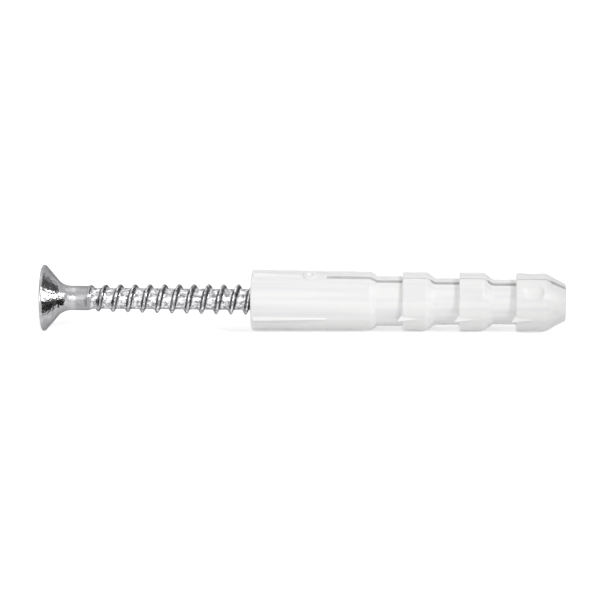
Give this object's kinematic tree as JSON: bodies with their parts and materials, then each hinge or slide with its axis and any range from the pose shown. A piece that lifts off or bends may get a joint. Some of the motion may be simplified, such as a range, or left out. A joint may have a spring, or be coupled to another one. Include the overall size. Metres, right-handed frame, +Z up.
{
  "type": "wall plug with screw",
  "caption": "White moulded wall plug, slit into two legs with barbed barrels, and a zinc plated countersunk screw pushed into its mouth.",
  "frame": {"origin": "on the surface that the pair lies on, under the middle of its length and width", "axes": "+X along the pair from the screw's head to the plug's tip, +Z up from the surface, -Y towards the side that the picture shows"},
  "size_m": [0.067, 0.0084, 0.0085],
  "materials": {
    "white_nylon": "moulded nylon, satin, slightly translucent",
    "zinc_plated_steel": "rolled and cold headed steel, bright zinc plated"
  },
  "bodies": {
    "plug": {"plug": "white_nylon"},
    "screw": {"screw": "zinc_plated_steel"}
  },
  "joints": [
    {"name": "screw_in_bore", "type": "slide", "parent": "plug", "child": "screw", "axis": [1, 0, -0.0084], "range_m": [-0.025, 0]}
  ]
}
